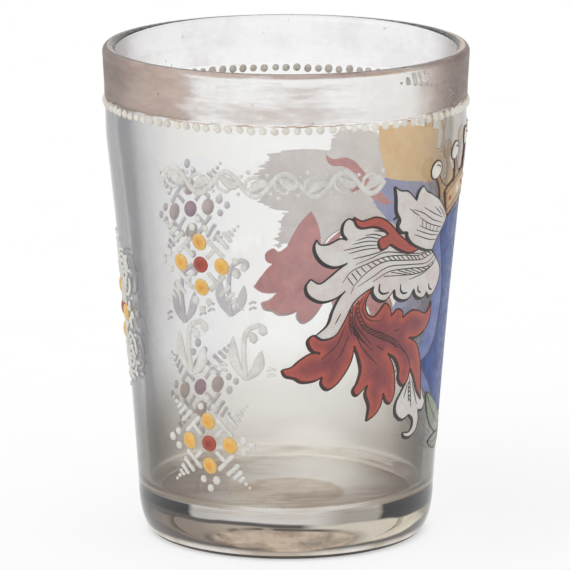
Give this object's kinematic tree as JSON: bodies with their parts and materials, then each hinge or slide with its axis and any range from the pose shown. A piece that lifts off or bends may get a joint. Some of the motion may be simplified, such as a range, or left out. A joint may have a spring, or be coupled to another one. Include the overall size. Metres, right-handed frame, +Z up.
{
  "type": "enamelled drinking glass",
  "caption": "Thick-based tapered drinking glass with a gilded rim, a row of enamel pearls, dotted rosettes, a vine frieze and painted leaves round a plain shield.",
  "frame": {"origin": "centre of the foot, on the plane the glass stands on", "axes": "+Z up along the glass's axis, -Y towards the side between the rosettes and the painted leaves, +X towards the shield"},
  "size_m": [0.082, 0.082, 0.11],
  "materials": {
    "clear_glass": "clear, polished, faintly grey",
    "worn_gold": "burnished gold film, worn and pinkish",
    "pearl_enamel": "glossy white enamel",
    "red_drop_enamel": "glossy brick-red enamel",
    "yellow_drop_enamel": "glossy yellow enamel",
    "white_line_enamel": "satin off-white enamel in raised lines",
    "white_leaf_enamel": "satin off-white enamel",
    "red_leaf_enamel": "satin brownish-red enamel",
    "blue_enamel": "satin blue enamel",
    "pale_blue_enamel": "satin pale blue enamel",
    "green_enamel": "satin grey-green enamel",
    "gold_enamel": "satin old-gold enamel",
    "ink_enamel": "satin grey-black enamel of the drawn lines"
  },
  "bodies": {
    "root": {"glass_body": "clear_glass", "rim_gilding": "worn_gold", "pearl_row": "pearl_enamel", "rosette_upper_front_centre": "red_drop_enamel", "rosette_upper_front_top": "yellow_drop_enamel", "rosette_upper_front_right": "yellow_drop_enamel", "rosette_upper_front_bottom": "yellow_drop_enamel", "rosette_upper_front_left": "yellow_drop_enamel", "rosette_lower_front_centre": "red_drop_enamel", "rosette_lower_front_top": "yellow_drop_enamel", "rosette_lower_front_right": "yellow_drop_enamel", "rosette_lower_front_bottom": "yellow_drop_enamel", "rosette_lower_front_left": "yellow_drop_enamel", "rosette_upper_back_centre": "red_drop_enamel", "rosette_upper_back_top": "yellow_drop_enamel", "rosette_upper_back_right": "yellow_drop_enamel", "rosette_upper_back_bottom": "yellow_drop_enamel", "rosette_upper_back_left": "yellow_drop_enamel", "rosette_lower_back_centre": "red_drop_enamel", "rosette_lower_back_top": "yellow_drop_enamel", "rosette_lower_back_right": "yellow_drop_enamel", "rosette_lower_back_bottom": "yellow_drop_enamel", "rosette_lower_back_left": "yellow_drop_enamel", "rosette_side_centre": "red_drop_enamel", "rosette_side_top": "yellow_drop_enamel", "rosette_side_right": "yellow_drop_enamel", "rosette_side_bottom": "yellow_drop_enamel", "rosette_side_left": "yellow_drop_enamel", "scroll_upper_right": "white_line_enamel", "scroll_upper_left": "white_line_enamel", "scroll_lower_right": "white_line_enamel", "scroll_lower_left": "white_line_enamel", "sprig_front_outer": "white_line_enamel", "sprig_front_inner": "white_line_enamel", "sprig_back_inner": "white_line_enamel", "sprig_back_outer": "white_line_enamel", "frieze_vine": "white_line_enamel", "white_upper_leaf_left": "white_leaf_enamel", "white_upper_leaf_right": "white_leaf_enamel", "red_small_leaf_left": "red_leaf_enamel", "red_small_leaf_right": "red_leaf_enamel", "white_main_leaf_left": "white_leaf_enamel", "white_main_leaf_right": "white_leaf_enamel", "red_main_leaf_left": "red_leaf_enamel", "red_main_leaf_right": "red_leaf_enamel", "white_tip_leaf_left": "white_leaf_enamel", "white_tip_leaf_right": "white_leaf_enamel", "coronet": "gold_enamel", "shield_border": "pale_blue_enamel", "shield_field": "blue_enamel", "base_spray_left": "green_enamel", "base_spray_right": "green_enamel"}
  },
  "joints": []
}
